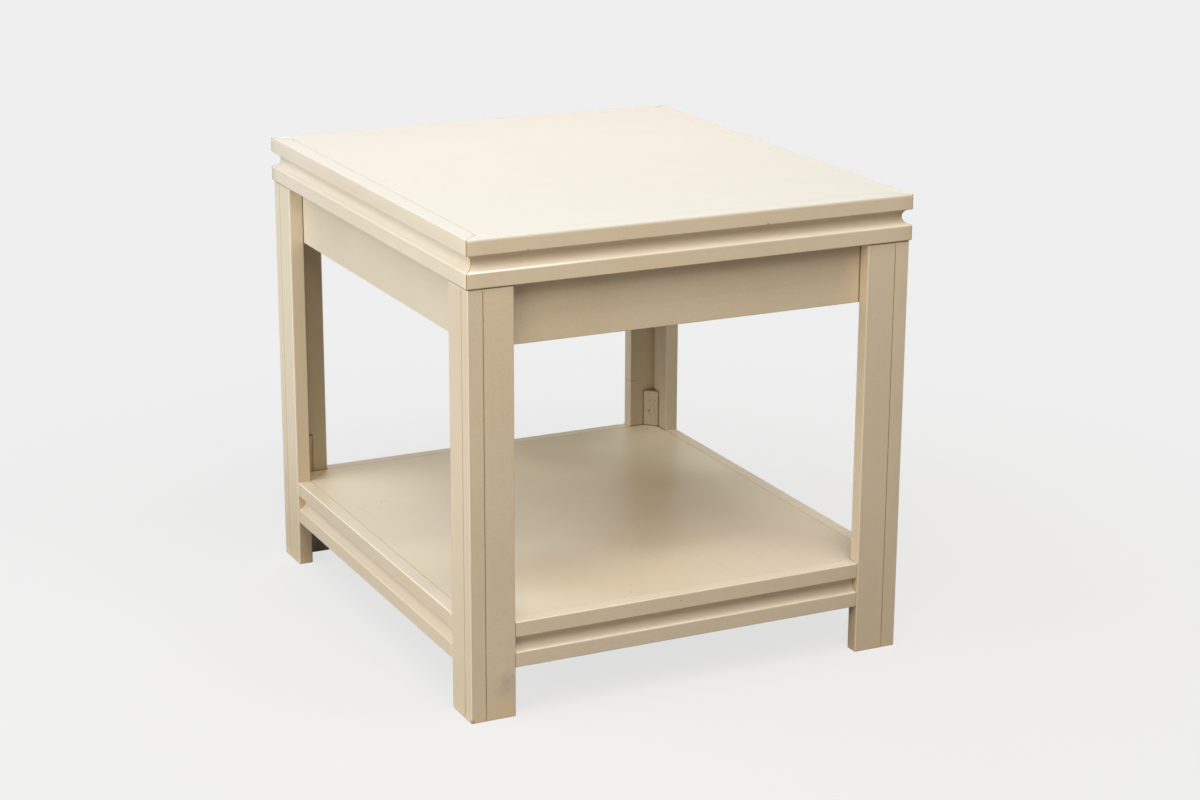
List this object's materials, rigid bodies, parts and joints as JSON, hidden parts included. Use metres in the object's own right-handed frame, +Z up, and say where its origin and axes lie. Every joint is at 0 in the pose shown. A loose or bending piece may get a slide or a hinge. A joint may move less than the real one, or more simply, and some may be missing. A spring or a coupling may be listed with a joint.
{
  "type": "end table with shelf",
  "caption": "Square-legged wooden end table with a low shelf, cove-moulded edges round the top and shelf, and L-shaped legs.",
  "frame": {"origin": "on the floor, under the middle of the table", "axes": "+Z up; +Y along the longer side, from front to back; +X along the shorter side, from left to right"},
  "size_m": [0.586, 0.66, 0.5842],
  "materials": {
    "cream_lacquer": "satin lacquer",
    "bare_wood": "sawn, unfinished",
    "screw_steel": "zinc plated",
    "nail_steel": "bright drawn"
  },
  "bodies": {
    "root": {"apron_back": "cream_lacquer", "apron_block_screws": "screw_steel", "apron_corner_block_back_left": "bare_wood", "apron_corner_block_back_right": "bare_wood", "apron_corner_block_front_left": "bare_wood", "apron_corner_block_front_right": "bare_wood", "apron_front": "cream_lacquer", "apron_left": "cream_lacquer", "apron_right": "cream_lacquer", "back_left_leg_face_board": "cream_lacquer", "back_left_leg_post": "cream_lacquer", "back_left_leg_side_board": "cream_lacquer", "back_right_leg_face_board": "cream_lacquer", "back_right_leg_post": "cream_lacquer", "back_right_leg_side_board": "cream_lacquer", "front_left_leg_face_board": "cream_lacquer", "front_left_leg_post": "cream_lacquer", "front_left_leg_side_board": "cream_lacquer", "front_right_leg_face_board": "cream_lacquer", "front_right_leg_post": "cream_lacquer", "front_right_leg_side_board": "cream_lacquer", "leg_screws": "screw_steel", "lower_block_nails": "nail_steel", "shelf_edge_back": "cream_lacquer", "shelf_edge_front": "cream_lacquer", "shelf_edge_left": "cream_lacquer", "shelf_edge_right": "cream_lacquer", "shelf_lower_block_back_left": "bare_wood", "shelf_lower_block_back_right": "bare_wood", "shelf_lower_block_front_left": "bare_wood", "shelf_lower_block_front_right": "bare_wood", "shelf_nails": "nail_steel", "shelf_panel": "cream_lacquer", "shelf_upper_block_back_left": "cream_lacquer", "shelf_upper_block_back_right": "cream_lacquer", "shelf_upper_block_front_left": "cream_lacquer", "shelf_upper_block_front_right": "cream_lacquer", "top_edge_back": "cream_lacquer", "top_edge_front": "cream_lacquer", "top_edge_left": "cream_lacquer", "top_edge_right": "cream_lacquer", "top_panel": "cream_lacquer", "top_screws": "screw_steel", "upper_block_brads": "nail_steel"}
  },
  "joints": []
}
